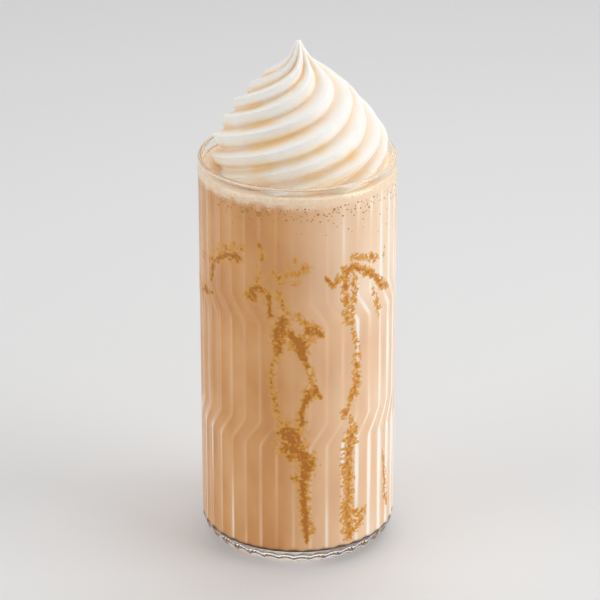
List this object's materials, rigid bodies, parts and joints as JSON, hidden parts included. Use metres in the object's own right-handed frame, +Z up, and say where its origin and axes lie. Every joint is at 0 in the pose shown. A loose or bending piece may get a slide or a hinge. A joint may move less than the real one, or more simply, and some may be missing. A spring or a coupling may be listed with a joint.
{
  "type": "vanilla milkshake in a glass",
  "caption": "Vanilla milkshake with a froth layer and one piped swirl of whipped cream, in a straight clear tumbler with jogged flutes and a rolled heel.",
  "frame": {"origin": "middle of the glass's foot, on the surface that it stands on", "axes": "+Z up along the glass's axis to the tip of the cream; -Y faces the viewer; +X to the viewer's right"},
  "size_m": [0.0742, 0.0742, 0.1988],
  "materials": {
    "clear_glass": "clear pressed soda-lime glass, polished",
    "milkshake": null,
    "froth": null,
    "whipped_cream": null
  },
  "bodies": {
    "root": {"glass": "clear_glass", "milkshake": "milkshake", "froth": "froth", "whipped_cream": "whipped_cream"}
  },
  "joints": []
}
